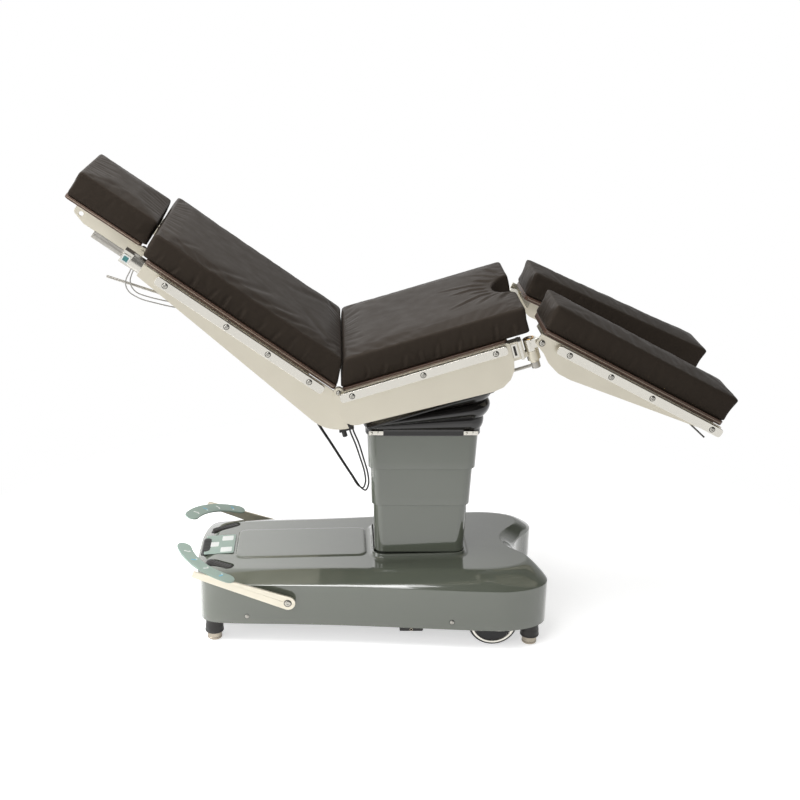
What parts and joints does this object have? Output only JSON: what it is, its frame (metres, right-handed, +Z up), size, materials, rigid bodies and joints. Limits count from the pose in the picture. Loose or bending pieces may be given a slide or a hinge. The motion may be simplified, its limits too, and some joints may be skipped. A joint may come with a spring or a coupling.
{
  "type": "operating table",
  "caption": "Hinged padded table on a telescoping column and moulded base, with head, back, seat and split leg sections, side rails, pedals and a tilting bellows head.",
  "frame": {"origin": "on the floor under the middle of the table's length and width, in the pose of the picture", "axes": "+X toward the leg end, +Y toward the patient's left side, +Z up"},
  "size_m": [1.8278, 0.584, 1.3884],
  "materials": {
    "paint": "gloss grey-green enamel",
    "satin_steel": "satin stainless sheet",
    "rail_steel": "bright stainless bar",
    "dark_steel": "dark enamel",
    "foot": "satin foot with a black boot",
    "tyre": "black rubber tread",
    "rubber": "glossy black rubber",
    "board": "brown laminate board",
    "pad_cloth": "dark grey-brown coated fabric",
    "black_plastic": "black plastic",
    "grey_plastic": "grey cable sheath"
  },
  "bodies": {
    "base": {"base_cover": "paint", "base_chassis": "dark_steel", "column_lower_cover": "paint", "levelling_foot_nose_right": "foot", "levelling_foot_nose_left": "foot", "levelling_foot_rear_right": "foot", "levelling_foot_rear_left": "foot"},
    "carriage": {"castor_carriage": "dark_steel"},
    "rear_wheel_r": {"rear_wheel_right": "tyre"},
    "rear_wheel_l": {"rear_wheel_left": "tyre"},
    "nose_fork_r": {"nose_fork_right": "rail_steel"},
    "nose_fork_l": {"nose_fork_left": "rail_steel"},
    "nose_wheel_r": {"nose_wheel_right": "tyre"},
    "nose_wheel_l": {"nose_wheel_left": "tyre"},
    "pedal_r": {"side_pedal_right": "satin_steel"},
    "pedal_l": {"side_pedal_left": "satin_steel"},
    "nose_pedal_f": {"nose_pedal_front": "dark_steel"},
    "nose_pedal_r": {"nose_pedal_right": "dark_steel"},
    "nose_pedal_l": {"nose_pedal_left": "dark_steel"},
    "column_middle": {"column_middle_cover": "paint"},
    "column": {"column_upper_cover": "paint", "column_ram": "rail_steel", "bellows_lower": "rubber"},
    "yoke": {"tilt_yoke": "dark_steel"},
    "seat": {"seat_frame": "satin_steel", "seat_board": "board", "seat_cushion": "pad_cloth", "seat_rail_right": "rail_steel", "seat_rail_left": "rail_steel", "cable_bracket": "black_plastic", "bellows_upper": "rubber"},
    "back": {"back_frame": "satin_steel", "back_board": "board", "back_cushion": "pad_cloth", "back_rail_right": "rail_steel", "back_rail_left": "rail_steel", "head_socket_right": "rail_steel", "head_socket_left": "rail_steel", "black_cable_1": "black_plastic", "black_cable_2": "black_plastic", "grey_cable_1": "grey_plastic", "grey_cable_2": "grey_plastic"},
    "lever": {"back_lever": "rail_steel"},
    "grip_r": {"head_grip_right": "rail_steel"},
    "grip_l": {"head_grip_left": "rail_steel"},
    "head": {"head_frame": "satin_steel", "head_board": "board", "head_cushion": "pad_cloth"},
    "knee_r": {"knee_joint_right": "rail_steel"},
    "knee_l": {"knee_joint_left": "rail_steel"},
    "knee_lever_r": {"knee_lever_right": "rail_steel"},
    "knee_lever_l": {"knee_lever_left": "rail_steel"},
    "leg_r": {"leg_frame_right": "satin_steel", "leg_board_right": "board", "leg_cushion_right": "pad_cloth", "leg_rail_right": "rail_steel"},
    "leg_l": {"leg_frame_left": "satin_steel", "leg_board_left": "board", "leg_cushion_left": "pad_cloth", "leg_rail_left": "rail_steel"}
  },
  "joints": [
    {"name": "castor_lowering", "type": "slide", "parent": "base", "child": "carriage", "axis": [0, 0, -1], "range_m": [0, 0.012]},
    {"name": "rear_wheel_right_roll", "type": "hinge", "parent": "carriage", "child": "rear_wheel_r", "pos_m": [0.27751, -0.222, 0.0775], "axis": [0, 1, 0], "continuous": true},
    {"name": "rear_wheel_left_roll", "type": "hinge", "parent": "carriage", "child": "rear_wheel_l", "pos_m": [0.27751, 0.222, 0.0775], "axis": [0, 1, 0], "continuous": true},
    {"name": "nose_castor_right_swivel", "type": "hinge", "parent": "carriage", "child": "nose_fork_r", "pos_m": [-0.42849, -0.085, 0.1], "axis": [0, 0, 1], "continuous": true},
    {"name": "nose_castor_left_swivel", "type": "hinge", "parent": "carriage", "child": "nose_fork_l", "pos_m": [-0.42849, 0.085, 0.1], "axis": [0, 0, 1], "continuous": true},
    {"name": "nose_wheel_right_roll", "type": "hinge", "parent": "nose_fork_r", "child": "nose_wheel_r", "pos_m": [-0.40249, -0.085, 0.0495], "axis": [0, 1, 0], "continuous": true},
    {"name": "nose_wheel_left_roll", "type": "hinge", "parent": "nose_fork_l", "child": "nose_wheel_l", "pos_m": [-0.40249, 0.085, 0.0495], "axis": [0, 1, 0], "continuous": true},
    {"name": "side_pedal_right_press", "type": "hinge", "parent": "base", "child": "pedal_r", "pos_m": [-0.32849, -0.24, 0.146], "axis": [0, -1, 0], "range_deg": [0, 7], "stiffness_Nm_per_rad": 60, "springref_deg": -6.88},
    {"name": "side_pedal_left_press", "type": "hinge", "parent": "base", "child": "pedal_l", "pos_m": [-0.32849, 0.24, 0.146], "axis": [0, -1, 0], "range_deg": [0, 7], "stiffness_Nm_per_rad": 60, "springref_deg": -6.88},
    {"name": "nose_pedal_front_press", "type": "slide", "parent": "base", "child": "nose_pedal_f", "axis": [0, 0, -1], "range_m": [0, 0.008], "stiffness_N_per_m": 1500, "springref_m": -0.01},
    {"name": "nose_pedal_right_press", "type": "slide", "parent": "base", "child": "nose_pedal_r", "axis": [0, 0, -1], "range_m": [0, 0.008], "stiffness_N_per_m": 1500, "springref_m": -0.01},
    {"name": "nose_pedal_left_press", "type": "slide", "parent": "base", "child": "nose_pedal_l", "axis": [0, 0, -1], "range_m": [0, 0.008], "stiffness_N_per_m": 1500, "springref_m": -0.01},
    {"name": "column_lift", "type": "slide", "parent": "base", "child": "column", "axis": [0, 0, 1], "range_m": [-0.2, 0.09]},
    {"name": "column_middle_slide", "type": "slide", "parent": "base", "child": "column_middle", "axis": [0, 0, 1], "range_m": [-0.1, 0.045]},
    {"name": "lateral_tilt", "type": "hinge", "parent": "column", "child": "yoke", "pos_m": [0.06351, 0, 0.708], "axis": [1, 0, 0], "range_deg": [-15, 15], "deforming": ["bellows_lower"]},
    {"name": "trendelenburg_tilt", "type": "hinge", "parent": "yoke", "child": "seat", "pos_m": [0.06351, 0, 0.745], "axis": [0, 1, 0], "range_deg": [-3, 36], "deforming": ["bellows_upper"]},
    {"name": "back_lift", "type": "hinge", "parent": "seat", "child": "back", "pos_m": [-0.18079, 0, 0.8125], "axis": [0, -1, 0], "range_deg": [-12, 75], "deforming": ["black_cable_1", "black_cable_2"]},
    {"name": "back_release", "type": "hinge", "parent": "back", "child": "lever", "pos_m": [-0.56607, -0.214, 1.04363], "axis": [0, 1, 0], "range_deg": [-6, 8]},
    {"name": "head_grip_right_twist", "type": "hinge", "parent": "back", "child": "grip_r", "pos_m": [-0.75218, -0.24, 1.19195], "axis": [-0.8161, 0, 0.5779], "range_deg": [-45, 45]},
    {"name": "head_grip_left_twist", "type": "hinge", "parent": "back", "child": "grip_l", "pos_m": [-0.75218, 0.24, 1.19195], "axis": [-0.8161, 0, 0.5779], "range_deg": [-45, 45]},
    {"name": "head_tilt", "type": "hinge", "parent": "back", "child": "head", "pos_m": [-0.71529, 0, 1.17379], "axis": [0, 1, 0], "range_deg": [-45, 5]},
    {"name": "leg_right_spread", "type": "hinge", "parent": "seat", "child": "knee_r", "pos_m": [0.33685, -0.24, 0.94642], "axis": [0.299, 0, -0.9542], "range_deg": [0, 75]},
    {"name": "leg_left_spread", "type": "hinge", "parent": "seat", "child": "knee_l", "pos_m": [0.33685, 0.24, 0.94642], "axis": [-0.299, 0, 0.9542], "range_deg": [0, 75]},
    {"name": "leg_right_bend", "type": "hinge", "parent": "knee_r", "child": "leg_r", "pos_m": [0.36357, -0.26, 0.9548], "axis": [0, -1, 0], "range_deg": [-45, 45]},
    {"name": "leg_left_bend", "type": "hinge", "parent": "knee_l", "child": "leg_l", "pos_m": [0.36357, 0.26, 0.9548], "axis": [0, -1, 0], "range_deg": [-48, 41.5]},
    {"name": "knee_lever_right_turn", "type": "hinge", "parent": "seat", "child": "knee_lever_r", "pos_m": [0.35599, -0.24, 0.88535], "axis": [0.299, 0, -0.9542], "range_deg": [0, 35]},
    {"name": "knee_lever_left_turn", "type": "hinge", "parent": "seat", "child": "knee_lever_l", "pos_m": [0.35599, 0.24, 0.88535], "axis": [-0.299, 0, 0.9542], "range_deg": [0, 35]}
  ],
  "couplings": [
    {"joint": "column_middle_slide", "follows": "column_lift", "ratio": 0.5}
  ]
}
